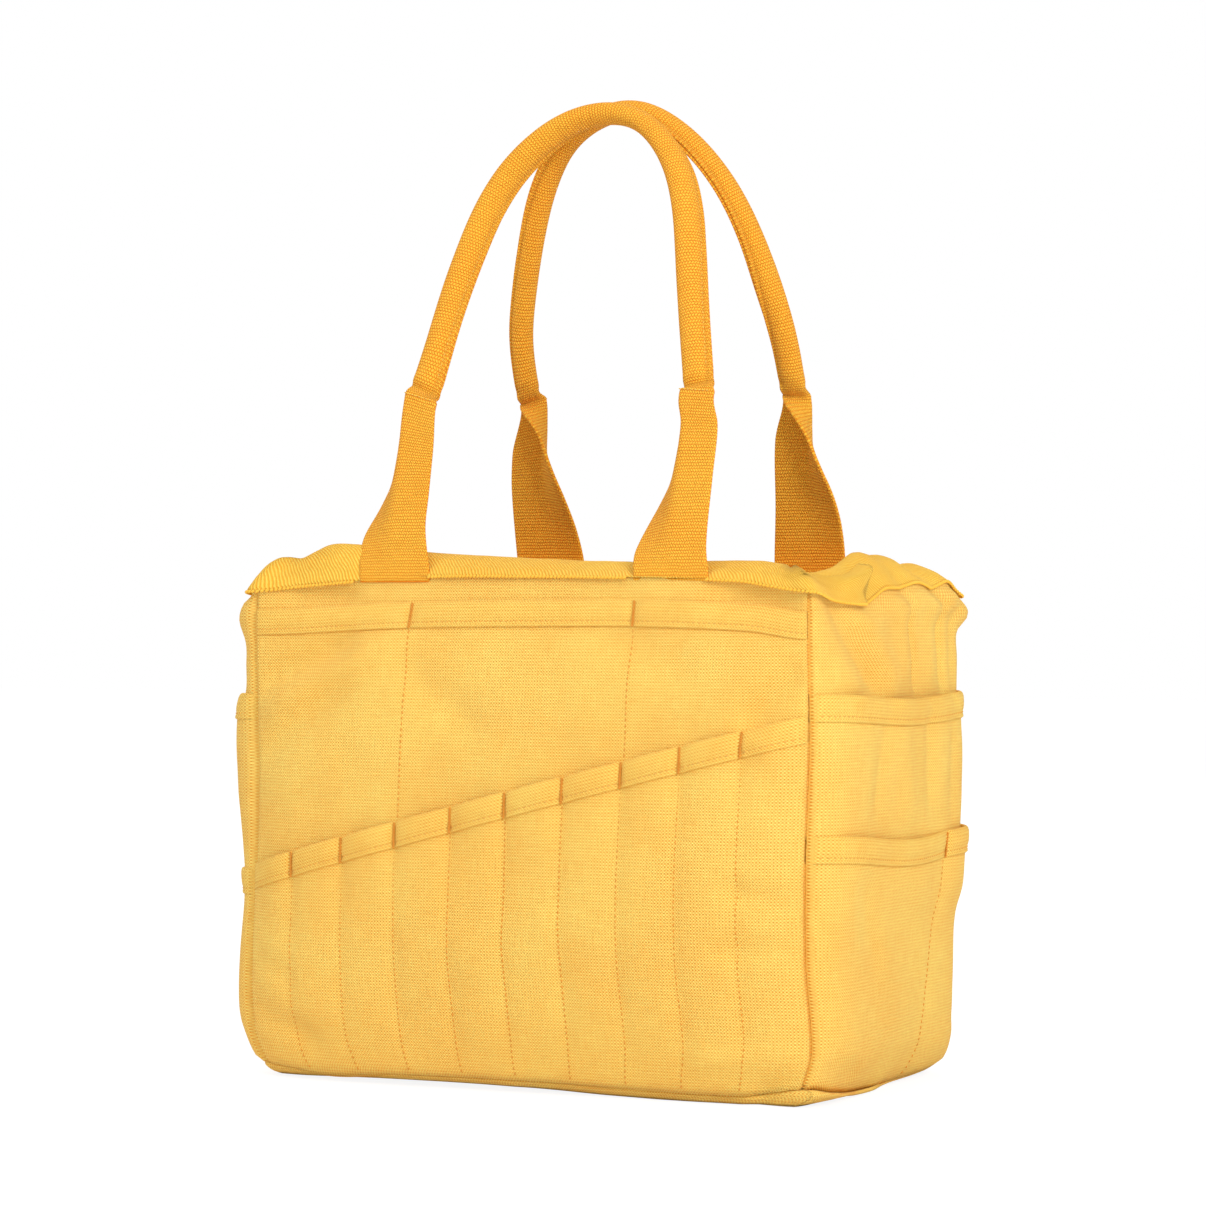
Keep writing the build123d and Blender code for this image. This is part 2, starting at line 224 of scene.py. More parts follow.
def folds(wall, t, z):
    """The cloth's own folds and slack on a wall."""
    u = t * HALF[wall]
    place = 1 + 6 * WALLS.index(wall)  # each wall's slack is drawn from its own part of the noise
    slack = 1.5 * noise.noise(Vector((u / 46, z / 60, place)))
    slack += 0.5 * noise.noise(Vector((u / 17, z / 23, 31)))
    mirrored = -u if wall == LEFT else u
    deeper, wider = 1.0, 1.0
    if wall == FRONT:
        deeper = 1.9 if z < 215 else 1.3
    if wall in (RIGHT, LEFT):
        deeper = 1.2 * (1 - 0.55 * ease((z - 218) / 16))
        wider = 1.2
    for start, end, depth, width in FOLDS[wall]:
        slack += crease(mirrored, z, start, end, depth * deeper, width * wider)
    return slack


def bag_point(wall, t, z, lift=0.0, groove=3.4):
    """A point on the canvas, standing off it by lift. Both walls fold in by groove at a corner seam."""
    first, last = (CORNERS[name] for name in ENDS[wall])
    height = z / seam_height(wall, t) * full_height
    a = Vector((through(height, first[0]), through(height, first[1]), z))
    b = Vector((through(height, last[0]), through(height, last[1]), z))
    inside = clamp(t, -1, 1)
    swell, squareness = BULGE[wall]
    held = 1 - abs(inside) ** squareness
    loose = 1 - abs(inside) ** 12
    out = through(height, swell) * held + folds(wall, inside, z) * loose
    rolled = 1.3 * (1 - ease((z - foot_height(wall, inside)) / 3.5))
    point = a.lerp(b, (inside + 1) / 2) + OUT[wall] * (out - rolled + lift * (0.35 + 0.65 * loose))
    side = 1 if t > 0 else -1
    inward = (-OUT[wall] - side * ALONG[wall]).normalized()
    point += inward * groove * (1 - ease(HALF[wall] * (1 - abs(inside)) / 2.0)) ** 1.2
    if abs(t) > 1:  # the seam allowance, turned in along the corner's diagonal
        away = (OUT[wall] - side * ALONG[wall]).normalized()
        point += inward * (abs(t) - 1) * HALF[wall] - away * 0.12
    return point


def spread(s, columns, half):
    """Shares out a wall's columns of mesh, closer together by the corner seams."""
    edge = [0.0, 0.35, 0.8, 1.4, 2.4]
    k = round(s * columns)
    if k <= 4:
        return edge[k] / half - 1
    if columns - k <= 4:
        return 1 - edge[columns - k] / half
    return (edge[4] / half - 1) + (2 - 2 * edge[4] / half) * (k - 4) / (columns - 8)


# ---- building meshes ----
def station(section, v):
    """The entry of a list that lies at the share v of the way along it."""
    return section[round(v * (len(section) - 1))]


def sheet_mesh(name, columns, rows, place, weld=False, flip=False):
    """A grid of cloth. place(s, v) gives a point in mm, and how far along and up the cloth it is."""
    bm = bmesh.new()
    bmesh.ops.create_grid(bm, x_segments=columns, y_segments=rows, size=0.5)
    uv = bm.loops.layers.uv.new("cloth")
    spots = {v: place(clamp(v.co.x + 0.5), clamp(v.co.y + 0.5)) for v in bm.verts}
    for face in bm.faces:
        for loop in face.loops:
            _, (along, up) = spots[loop.vert]
            loop[uv].uv = (along * MM, up * MM)
    for vert, (point, _) in spots.items():
        vert.co = point * MM
    if weld:
        bmesh.ops.remove_doubles(bm, verts=bm.verts, dist=0.00002)
    if flip:
        bmesh.ops.reverse_faces(bm, faces=bm.faces)
    return finish_mesh(name, bm)


def closed_mesh(name, columns, rows, place):
    """A strip whose cloth comes back round to its own edge, with its ends closed."""
    strip = sheet_mesh(name, columns, rows, place, weld=True)
    bm = bmesh.new()
    bm.from_mesh(strip.data)
    bmesh.ops.holes_fill(bm, edges=[e for e in bm.edges if e.is_boundary], sides=0)
    bmesh.ops.recalc_face_normals(bm, faces=bm.faces)
    bm.to_mesh(strip.data)
    bm.free()
    return strip


def finish_mesh(name, bm, smooth=True):
    mesh = bpy.data.meshes.new(name)
    bm.to_mesh(mesh)
    bm.free()
    for polygon in mesh.polygons:
        polygon.use_smooth = smooth
    obj = bpy.data.objects.new(name, mesh)
    bpy.context.scene.collection.objects.link(obj)
    return obj


def thicken(obj, thickness, side=-1):
    """Gives a sheet its thickness, behind its face or, with side 0, to both sides of it."""
    solid = obj.modifiers.new("thickness", "SOLIDIFY")
    solid.thickness = thickness * MM
    solid.offset = side
    return obj


def dress(obj, body, slot, material, *nodes):
    """Rides a piece on its body, in its material, in place of its CAD nodes."""
    obj.data.materials.append(material)
    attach(obj, body)
    if nodes:
        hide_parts(*nodes)


# ---- materials ----
def linear(colour):
    return tuple(c / 12.92 if c <= 0.04045 else ((c + 0.055) / 1.055) ** 2.4 for c in colour) + (1.0,)


class Nodes:
    """Shorthand for wiring a node tree."""

    def __init__(self, tree):
        self.tree = tree

    def add(self, kind, **settings):
        node = self.tree.nodes.new(kind)
        for key, value in settings.items():
            setattr(node, key, value)
        return node

    def link(self, source, target):
        self.tree.links.new(source, target)

    def feed(self, socket, value):
        if isinstance(value, bpy.types.NodeSocket):
            self.link(value, socket)
        else:
            socket.default_value = value

    def fed(self, node, values):
        for socket, value in zip(node.inputs, values):
            self.feed(socket, value)
        return node.outputs[0]

    def math(self, operation, *values):
        return self.fed(self.add("ShaderNodeMath", operation=operation), values)

    def noise(self, vector, scale, detail=2.0):
        node = self.add("ShaderNodeTexNoise")
        self.feed(node.inputs["Vector"], vector)
        node.inputs["Scale"].default_value = scale
        node.inputs["Detail"].default_value = detail
        return node.outputs["Fac"]

    def vector(self, x, y):
        return self.fed(self.add("ShaderNodeCombineXYZ"), (x, y))

    def mix(self, factor, a, b):
        node = self.add("ShaderNodeMix", data_type="RGBA")
        self.feed(node.inputs["Factor"], factor)
        self.feed(node.inputs[6], a)
        self.feed(node.inputs[7], b)
        return node.outputs[2]

    def bump(self, height, relief, shader):
        node = self.add("ShaderNodeBump")
        node.inputs["Distance"].default_value = relief * MM
        self.link(height, node.inputs["Height"])
        self.link(node.outputs["Normal"], shader.inputs["Normal"])


def new_group(name, wanted, made):
    """An empty node group with its sockets: (group, its nodes, its input node, its output node)."""
    group = bpy.data.node_groups.new(name, "ShaderNodeTree")
    for socket, kind in wanted.items():
        group.interface.new_socket(socket, in_out="INPUT", socket_type=kind)
    for socket in made:
        group.interface.new_socket(socket, in_out="OUTPUT", socket_type="NodeSocketFloat")
    n = Nodes(group)
    return group, n, n.add("NodeGroupInput"), n.add("NodeGroupOutput")


def weave_group(name, pattern):
    """A group that turns a place on cloth into a yarn height, 0 to 1."""
    wanted = {"Cloth": "NodeSocketVector", "Across": "NodeSocketFloat", "Up": "NodeSocketFloat"}
    group, n, given, out = new_group(name, wanted, ("Yarns",))
    place = n.add("ShaderNodeSeparateXYZ")
    n.link(given.outputs["Cloth"], place.inputs[0])
    # hand-spun unevenness moves the yarns a little from their places
    wander = n.math("MULTIPLY", n.math("SUBTRACT", n.noise(given.outputs["Cloth"], 120.0), 0.5), 0.6)
    x = n.math("ADD", n.math("DIVIDE", place.outputs[0], given.outputs["Across"]), wander)
    y = n.math("ADD", n.math("DIVIDE", place.outputs[1], given.outputs["Up"]), wander)
    n.link(pattern(n, x, y), out.inputs["Yarns"])
    return group


def plain_weave(n, x, y):
    """Each yarn passes over one and under one: raised spots in a chequer."""
    row = n.math("SINE", n.math("MULTIPLY", y, pi))
    wave = n.math("MULTIPLY", n.math("SINE", n.math("MULTIPLY", x, pi)), row)
    wave = n.math("ADD", n.math("MULTIPLY", wave, 0.38), n.math("MULTIPLY", row, 0.12))
    return n.math("POWER", n.math("ADD", wave, 0.5), 0.8)


def cell_weave(n, x, y):
    """Heavy webbing: rounded cells in rows, each row set off from the next and leaning the other way."""
    above_zero = 4000.0  # an even number of cells, so that the whole parts below are never negative
    x, y = n.math("ADD", x, above_zero), n.math("ADD", y, above_zero)
    odd = n.math("MODULO", n.math("FLOOR", y), 2.0)
    up = n.math("SUBTRACT", n.math("FRACT", y), 0.5)
    lean = n.math("MULTIPLY", up, n.math("MULTIPLY_ADD", odd, 1.0, -0.5))
    shifted = n.math("ADD", n.math("MULTIPLY_ADD", odd, 0.5, x), lean)
    across = n.math("SUBTRACT", n.math("FRACT", shifted), 0.5)
    domes = [
        n.math("SUBTRACT", 1.0, n.math("POWER", n.math("ABSOLUTE", n.math("MULTIPLY", f, 2.0)), 2.2))
        for f in (across, up)
    ]
    return n.math("POWER", n.math("MULTIPLY", *domes), 0.7)


def twill_weave(n, x, y):
    """Twill tape: slanting ribs, crossed by fine yarns."""
    rib = n.math("SINE", n.math("MULTIPLY", n.math("ADD", x, y), 2 * pi))
    cross = n.math("SINE", n.math("MULTIPLY", n.math("SUBTRACT", x, y), 4 * pi))
    return n.math("ADD", n.math("MULTIPLY_ADD", rib, 0.36, 0.5), n.math("MULTIPLY", cross, 0.14))


def worn_group():
    """A group that says where a cloth's colour fades in soft patches and changes along a few yarns."""
    wanted = {"Cloth": "NodeSocketVector", "Object": "NodeSocketVector"}
    group, n, given, out = new_group("sun and handling", wanted, ("Patches", "Slubs"))
    n.link(n.noise(given.outputs["Object"], 22.0, 3.0), out.inputs["Patches"])
    place = n.add("ShaderNodeSeparateXYZ")
    n.link(given.outputs["Cloth"], place.inputs[0])
    fine, long = 1500.0, 90.0  # a slub is thin across its yarn and long along it
    yarns = []
    for x, y in ((fine, long), (long, fine)):
        stretched = n.vector(n.math("MULTIPLY", place.outputs[0], x), n.math("MULTIPLY", place.outputs[1], y))
        yarns.append(n.noise(stretched, 1.0, 1.0))
    n.link(n.math("MULTIPLY_ADD", n.math("ADD", *yarns), 0.5, 0.0), out.inputs["Slubs"])
    return group


WEAVES = {
    "plain": weave_group("plain weave", plain_weave),
    "cells": weave_group("webbing weave", cell_weave),
    "twill": weave_group("twill weave", twill_weave),
}
WORN = worn_group()


def new_material(name):
    """A new material: (itself, its nodes, its surface)."""
    material = bpy.data.materials.new(name)
    material.use_nodes = True
    return material, Nodes(material.node_tree), material.node_tree.nodes["Principled BSDF"]


def cloth_material(name, weave, across, up, high, low, relief):
    """Woven cloth: high is the colour of the yarns' tops, and low is a painted shade for the hollows between
    them, which also colours the thick slubs.
    """
    material, n, shader = new_material(name)
    where = n.add("ShaderNodeTexCoord")
    yarns = n.add("ShaderNodeGroup", node_tree=WEAVES[weave])
    n.link(where.outputs["UV"], yarns.inputs["Cloth"])
    yarns.inputs["Across"].default_value = across * MM
    yarns.inputs["Up"].default_value = up * MM
    worn = n.add("ShaderNodeGroup", node_tree=WORN)
    n.link(where.outputs["UV"], worn.inputs["Cloth"])
    n.link(where.outputs["Object"], worn.inputs["Object"])
    # painted shade: the hollows between the yarns are coloured darker than the yarns' tops
    yarn_tops_and_hollow_shade = n.mix(yarns.outputs["Yarns"], linear(low), linear(high))
    pale = linear(tuple(min(1.0, c * 1.06 + 0.02) for c in high))
    faded = n.mix(n.math("MULTIPLY", n.math("SUBTRACT", worn.outputs["Patches"], 0.42), 0.55), yarn_tops_and_hollow_shade, pale)
    thick = n.math("MULTIPLY", n.math("SUBTRACT", worn.outputs["Slubs"], 0.38), 0.8)
    n.link(n.mix(thick, faded, linear(low)), shader.inputs["Base Color"])
    n.link(n.math("MULTIPLY_ADD", worn.outputs["Slubs"], 0.1, 0.92 - 0.06), shader.inputs["Roughness"])
    for socket, value in (("Specular IOR Level", 0.12), ("Sheen Weight", 0.04), ("Sheen Roughness", 0.6)):
        shader.inputs[socket].default_value = value
    height = n.math("ADD", yarns.outputs["Yarns"], n.math("MULTIPLY", worn.outputs["Slubs"], 0.5))
    n.bump(height, relief, shader)
    return material


def thread_material(name, colour):
    """Twisted sewing thread."""
    material, n, shader = new_material(name)
    where = n.add("ShaderNodeTexCoord")
    twist = n.noise(where.outputs["Object"], 1800.0, 1.0)
    dark = tuple(c * 0.82 for c in colour)
    n.link(n.mix(twist, linear(dark), linear(colour)), shader.inputs["Base Color"])
    n.link(n.math("MULTIPLY_ADD", twist, 0.2, 0.55), shader.inputs["Roughness"])
    n.bump(twist, 0.1, shader)
    return material


# each cloth's weave, its yarns' width across and up in mm, its two colours (the yarns' tops, and the painted
# shade of the hollows between yarns, also used for slubs) and its relief in mm
canvas_cloth = cloth_material(
    "yellow canvas", "plain", 0.74, 0.74, (1.0, 0.92, 0.495), (0.90, 0.51, 0.015), 0.4)
binding_cloth = cloth_material(
    "pocket tape", "plain", 0.74, 0.74, (1.0, 0.90, 0.475), (0.88, 0.52, 0.03), 0.38)
rim_cloth = cloth_material("rim tape", "twill", 1.75, 1.75, (1.0, 0.875, 0.39), (0.93, 0.60, 0.08), 0.4)
webbing_cloth = cloth_material(
    "heavy webbing", "cells", 1.3, 1.55, (1.0, 0.79, 0.27), (0.95, 0.49, 0.01), 0.45)
cord_cloth = cloth_material("cord", "twill", 1.2, 1.2, (0.90, 0.87, 0.80), (0.72, 0.68, 0.60), 0.2)
seam_thread = thread_material("orange thread", (0.94, 0.62, 0.18))
hem_thread = thread_material("yellow thread", (0.98, 0.72, 0.30))
webbing_thread = thread_material("gold thread", (1.0, 0.80, 0.34))


# ---- the canvas shell ----
PANEL = {FRONT: "front_panel", BACK: "back_panel", RIGHT: "right_side_panel", LEFT: "left_side_panel"}


def wall_panel(wall):
    """One wall, from the base seam to the top seam, with its seam allowances turned in."""
    half, turned_in = HALF[wall], 4
    inner = round(2 * half / 2.4) + 8
    columns = inner + 2 * turned_in
    rows, tucked_rows = 84, 3  # the last rows are tucked up under the rim tape

    def place(s, v):
        k = round(s * columns)
        if k < turned_in:
            t = -1 - allowance / half * (turned_in - k) / turned_in
        elif k > columns - turned_in:
            t = 1 + allowance / half * (k - columns + turned_in) / turned_in
        else:
            t = spread((k - turned_in) / inner, inner, half)
        low, high = foot_height(wall, clamp(t, -1, 1)), seam_height(wall, clamp(t, -1, 1))
        row = round(v * (rows + tucked_rows))
        z, tucked = low + min(1.0, row / rows) * (high - low), max(0, row - rows)
        if tucked and abs(t) <= 1:
            point = rim_point(wall, t * half, 0.1 * (tucked - 1), -0.2 - 0.25 * tucked)
        else:
            point = bag_point(wall, t, z) + Vector((0, 0, 0.3 * tucked))
        return point, (t * half, z + 1.5 * tucked)

    panel = sheet_mesh(f"{wall}_wall_cloth", columns, rows + tucked_rows, place)
    thicken(panel, canvas)
    dress(panel, "bag", "canvas", canvas_cloth, PANEL[wall])


def around(s):
    """(wall, t) for a place right round the bag, starting at the front's left corner."""
    left = (s % 1.0) * sum(HALF[wall] for wall in WALLS)
    for wall in WALLS:
        if left <= HALF[wall] or wall == LEFT:
            return wall, clamp(2 * left / HALF[wall] - 1, -1, 1)
        left -= HALF[wall]


def base_cloth():
    """The base: a soft bottom whose rim rolls up to meet the walls."""
    rim = 0.45  # the share of its rows that are on the rim

    def place(s, v):
        wall, t = around(s)
        foot = foot_height(wall, t)
        edge = bag_point(wall, t, foot, groove=0.0)
        inward = Vector((-edge.x, -edge.y, 0)).normalized()
        raised = through(t, RAISED[wall])
        tab = through(t, TAB[wall])
        if v <= rim:  # the part that shows below the walls
            f = v / rim
            swell = max(0.0, sin(pi * min(1.0, f * 1.08))) ** 0.6
            height = raised + (foot - raised) * cos(f * pi / 2) ** 0.9
            point = edge - inward * (1.4 * swell - 5.0 * f**3 - 0.8 * (1 - f))
            point += Vector((5.6, -1.6, 0)) * tab * swell
        else:
            shrink = 1 - (v - rim) / (1 - rim)
            point = edge + inward * 5.0
            point = Vector((point.x * shrink, point.y * shrink, 0))
            height = raised * shrink + 0.9 * (1 - shrink) * shrink
        point = Vector((point.x, point.y, max(0.25, height)))
        return point, (point.x, point.y) if v > rim else (s * base_girth, point.z)

    cloth = sheet_mesh("base_cloth", 340, 22, place, weld=True, flip=True)
    thicken(cloth, canvas)
    dress(cloth, "bag", "canvas", canvas_cloth, "base_panel")


# ---- pockets ----
class Pocket:
    """A pocket's cloth on a wall: where its seams are, where its top is, and how far it stands off."""

    def __init__(self, wall, node, seams, top, puff, mouth, below=None, drift=((0, 0), (1, 0))):
        self.wall, self.node, self.seams = wall, node, seams
        self.top, self.puff, self.mouth, self.below, self.drift = top, puff, mouth, below, drift

    def seam_at(self, seam, z):
        """Where a seam is at a height: a divider may run a little askew."""
        return seam + through(z, self.drift) * (1 - seam * seam)

    def bay(self, t, z):
        """How far into its bay a place is: 0 at the seams, 1 in the middle."""
        places = [self.seam_at(seam, z) for seam in self.seams]
        for a, b in zip(places, places[1:]):
            if t <= b:
                f = clamp((t - a) / (b - a))
                return 1 - abs(2 * f - 1) ** 2.6
        return 0.0

    def lift(self, t, z):
        under = 0.0
        if self.below:
            pressed = 0.6 if self.wall in (RIGHT, LEFT) else 1.0
            under = self.below.lift(t, min(z, self.below.top(t))) * pressed
        rise = ease((z - 6) / 30)
        near_top = ease(1 - (self.top(t) - z) / 45)
        return under + 1.25 + self.bay(t, z) * rise * (self.puff + self.mouth * near_top)

    def pinch(self, t, z):
        """How far the tape over the top stands off its pocket: it is drawn in at the seams."""
        return 0.4 + 0.6 * min(1.0, self.bay(t, z) * 5)

    def point(self, t, z, extra=0.0):
        return bag_point(self.wall, t, z, self.lift(t, z) + extra)

    def cloth(self):
        wall, half = self.wall, HALF[self.wall]
        columns = max(round(2 * half / 2.0), 14 * (len(self.seams) - 1)) + 8

        def place(s, v):
            t = spread(s, columns, half)
            low = foot_height(wall, t)
            z = low + v * (self.top(t) - low)
            return self.point(t, z), (t * half, z)

        tallest = max(self.top(-1), self.top(1))
        piece = sheet_mesh(self.node + "_cloth", columns, round(tallest / 3), place)
        thicken(piece, pocket_canvas)
        lowest = min(self.top(-1), self.top(1))
        dress(piece, "bag", "canvas", canvas_cloth, self.node)

    def hem_tape(self):
        """The tape folded over the pocket's top edge."""
        # (distance below the top, stand-off, distance along the tape's own width)
        section = [
            (hem, -0.1, 0), (hem + 0.15, 0.7, 0.8), (hem - 0.4, 1.35, 1.6), (hem - 1.4, 1.3, 2.6),
            (hem - 2.6, 0.85, 3.8), (hem - 3.8, 1.4, 5), (hem - 5.6, 1.75, 6.8), (3.6, 1.8, 9),
            (1.4, 1.7, 11), (0.0, 1.2, 12.6), (-0.8, 0.4, 13.6), (-1.0, -0.5, 14.4), (-0.6, -1.3, 15.2),
            (1.5, -1.75, 17), (hem - 0.3, -1.75, 26), (hem, -1.0, 27), (hem, -0.1, 28),
        ]
        half = HALF[self.wall]
        columns = round(2 * half / 1.7) + 8

        def place(s, v):
            t = spread(s, columns, half)
            down, off, own = station(section, v)
            z = self.top(t) - down
            return self.point(t, z, off * self.pinch(t, z) if off > 0 else off), (t * half, own)

        strip = closed_mesh(self.node + "_hem", columns, len(section) - 1, place)
        dress(strip, "bag", "binding", binding_cloth, self.node + "_binding")


def level(height):
    return lambda t: height


def sagging(front, middle, back):
    return lambda t: through(t, [(-1, front), (0, middle), (1, back)])


def slant_top(t):
    low, high = 101.0, 175.5
    return low + (t + 1) / 2 * (high - low) + 1.5 * sin(pi * (t + 1) / 2) * 0.6


def wide_top(t):
    return through(t, [(-1, 223.0), (-0.4, 226.4), (0.1, 227.2), (0.4, 227.2), (0.8, 225.2), (1, 221.5)])


front_wide = Pocket(FRONT, "front_wide_pocket", [-1, *wide_dividers, 1], wide_top, 0.4, 0.9)
front_slant = Pocket(FRONT, "front_slant_pocket", slot_seams, slant_top, 1.5, 1.7, below=front_wide)
back_wide = Pocket(BACK, "back_wide_pocket", [-1, 0, 1], level(190.8), 0.8, 2.2)
right_upper = Pocket(RIGHT, "right_upper_pocket", [-1, 1], sagging(184.6, 181.3, 183.7), 1.2, 2.8)
right_lower = Pocket(
    RIGHT, "right_lower_pocket", [-1, side_divider, 1], sagging(121.3, 116.2, 119.3), 0.8, 2.0,
    below=right_upper, drift=[(0, -0.26), (49, -0.12), (93, 0.03), (120, 0.1)],
)
left_upper = Pocket(LEFT, "left_upper_pocket", [-1, 1], sagging(183.0, 180.0, 182.5), 1.2, 3.0)
left_lower = Pocket(
    LEFT, "left_lower_pocket", [-1, -side_divider, 1], sagging(99.0, 96.5, 98.5), 0.4, 0.8, below=left_upper,
)
POCKETS = [front_wide, front_slant, back_wide, right_upper, right_lower, left_upper, left_lower]


# ---- the rim tape ----
RIM_RISE = {  # height of the tape's free edge above the seam, along each wall
    FRONT: [(-1, 14.5), (-0.88, 15), (-0.76, 19), (-0.68, 18), (-0.4, 11), (0, 7.6), (0.35, 6.4),
            (0.75, 8.6), (1, 9.4)],
    RIGHT: [(-1, 9.4), (-0.75, 11), (-0.5, 15.5), (-0.25, 16.5), (0.1, 14), (0.5, 9), (0.8, 7.5), (1, 7)],
    BACK: [(-1, 7), (-0.8, 7), (-0.3, 8), (0.3, 8), (0.8, 8), (1, 8)],
    LEFT: [(-1, 8), (-0.5, 12), (0, 13), (0.5, 13), (0.9, 14.5), (1, 14.5)],
}
# where each tape's ends are, from its wall's left and right corners
RIM_ENDS = {FRONT: (-24.0, 45.0), RIGHT: (3.0, 18.0), BACK: (3.0, 22.0), LEFT: (3.0, -3.0)}
ROPE_ENDS = {FRONT: (-23, 44), RIGHT: (46, 17), BACK: (19, 21), LEFT: (23, -25)}  # its corded edge's ends
# how far each end stands off the tape it covers
LAPS = {FRONT: (1.9, 1.9), RIGHT: (0, 1.7), BACK: (0, 1.7), LEFT: (0, 0)}
rim_width = 22.0
rim_turn = 22.5  # the length, each side of a corner, over which the tape turns to the next wall


def past_corner(wall, u):
    """(wall, t) for a distance u from a wall's middle, carried on round its corners."""
    half = HALF[wall]
    if u > half:
        other = WALLS[(WALLS.index(wall) + 1) % 4]
        return other, (u - half) / HALF[other] - 1
    if u < -half:
        other = WALLS[WALLS.index(wall) - 1]
        return other, 1 - (-half - u) / HALF[other]
    return wall, u / half


def rim_point(wall, u, across, lift=0.0):
    """A point on the rim tape: across is from 0 at the seam to 1 at the free edge, inside."""
    seam, rise = Vector(), 0.0
    for step, share in ((-4, 1), (-2, 2), (0, 3), (2, 2), (4, 1)):
        on, t = past_corner(wall, u + step)
        seam += bag_point(on, t, seam_height(on, t), groove=0.0) * (share / 9)
        rise += through(t, RIM_RISE[on]) * (share / 9)
    other = WALLS[(WALLS.index(wall) + (1 if u > 0 else -1)) % 4]
    turned = clamp((abs(u) - HALF[wall] + rim_turn) / (2 * rim_turn)) * pi / 2
    out = OUT[wall] * cos(turned) + OUT[other] * sin(turned)
    reach = sqrt(rim_width**2 - rise**2)
    near = 1 - abs(2 * turned / (pi / 2) - 1) if turned > 0 else 0.0
    ripple = 0.9 * noise.noise(Vector((seam.x / 26, seam.y / 26, across * 1.5 + 77)))
    ripple += 0.5 * noise.noise(Vector((seam.x / 9, seam.y / 9, across * 2.5 + 41)))
    if past_corner(wall, u)[0] in (RIGHT, LEFT):
        ripple += 0.9 * sin(seam.y / 6.3) * across * (1 - across) * 2
    ripple *= 1 - 0.7 * near
    point = seam + Vector((0, 0, rise * sin(across * pi / 2) + ripple * sin(pi * across)))
    point -= out * (reach * across - 0.9 * (1 - across))
    above = (Vector((0, 0, reach)) + out * rise).normalized()
    return point + out.lerp(above, ease(across / 0.3)).normalized() * lift


def lap(wall, u):
    """How far a tape stands off at u to lie over the next wall's tape."""
    return LAPS[wall][1 if u > 0 else 0] * ease((abs(u) - HALF[wall] + 12) / 10)


def under_tail(wall, u):
    """1 where a handle's tail lies over the rim tape, 0 elsewhere."""
    if wall in (RIGHT, LEFT):
        return 0.0
    return ease((webbing_width / 2 + 3.5 - abs(abs(u) - tail_place)) / 3)


def rim_tape(wall):
    """One length of tape, its ends carried round the corners and over the tapes beside it."""
    first, last = RIM_ENDS[wall][0] - HALF[wall], RIM_ENDS[wall][1] + HALF[wall]
    columns = round((last - first) / 2.2)
    # (share of the way across, stand-off, own width)
    section = [
        (0.0, -0.3, 0), (0.0, 0.9, 0.8), (0.06, 1.15, 2), (0.14, 0.9, 3.4), (0.22, 0.95, 5), (0.3, 0.95, 7),
        (0.4, 1.0, 9), (0.5, 1.0, 11), (0.6, 1.0, 13.2), (0.7, 0.9, 15.5), (0.8, 0.85, 17.8), (0.9, 0.8, 20),
        (1.0, 0.6, 22), (1.02, -0.2, 22.8), (0.98, -0.8, 23.6), (0.8, -0.7, 27.5), (0.6, -0.6, 31.5),
        (0.4, -0.5, 36), (0.2, -0.5, 40), (0.0, -0.3, 44),
    ]

    def place(s, v):
        across, off, own = station(section, v)
        # the front tape's right end is folded narrower, longer at its free edge and open in its middle
        folded = ease((across - 0.28) / 0.2) if wall == FRONT else 0.0
        u = first + (last + 13.0 * folded - first) * s
        mouth = 0.0
        if wall == FRONT:
            across *= 1 - 0.42 * ease((u - HALF[wall] - 4) / 32)
            mouth = 4.2 * ease((u - HALF[wall] - 28) / 20) * exp(-(((across - 0.36) / 0.14) ** 2))
        if across <= 0.4 and off > 0:
            off *= 1 - 0.9 * under_tail(wall, u)
        return rim_point(wall, u, across, off + lap(wall, u) + mouth), (u, own)

    strip = closed_mesh(f"{wall}_rim", columns, len(section) - 1, place)
    dress(strip, "bag", "rim_tape", rim_cloth, f"{wall}_rim_tape")


# ---- tapes inside ----
def seam_tape(wall):
    """The tape folded over the seam allowance inside the bag, at the wall's right corner."""
    corner = ENDS[wall][1]
    inward = (-OUT[wall] - ALONG[wall]).normalized()
    across = (OUT[wall] - ALONG[wall]).normalized()
    face = [(5.0, 1.6), (9.0, 2.1), (14.2, 2.1), (14.9, 1.2)]
    section = face + [(deep, -off) for deep, off in reversed(face)] + face[:1]
    low, length, width = 9, 214, 26

    def place(s, v):
        deep, off = station(section, s)
        point = bag_point(wall, 1, low + length * v) + inward * deep + across * off
        return point, (s * width, length * v)

    strip = closed_mesh(f"{corner}_seam_tape", len(section) - 1, 40, place)
    dress(strip, "bag", "binding", binding_cloth, f"{corner}_seam_binding")


def base_tape():
    """The tape over the seam between base and walls, inside."""
    section = [(1.35, 3.6), (2.2, 3.8), (2.3, 8), (2.2, 12.2), (1.35, 12.4), (1.35, 3.6)]

    def place(s, v):
        wall, t = around(s)
        deep, height = station(section, v)
        edge = bag_point(wall, clamp(t, -0.9, 0.9), max(height, foot_height(wall, t) + 0.3))
        return edge - OUT[wall] * deep, (s * base_girth, height)

    strip = sheet_mesh("base_tape", 260, len(section) - 1, place, weld=True, flip=True)
    dress(strip, "bag", "binding", binding_cloth, "base_seam_tape")


# ---- stitches ----
BAR_TACK = dict(pitch=0.9, long=1.7, thick=0.5, slant=1.15)
CORDED_EDGE = dict(pitch=1.9, long=1.3, thick=0.8, slant=0.5)
GRIP_TACK = dict(start=-8.0, end=8.0, pitch=1.9, long=0.8, thick=0.36)


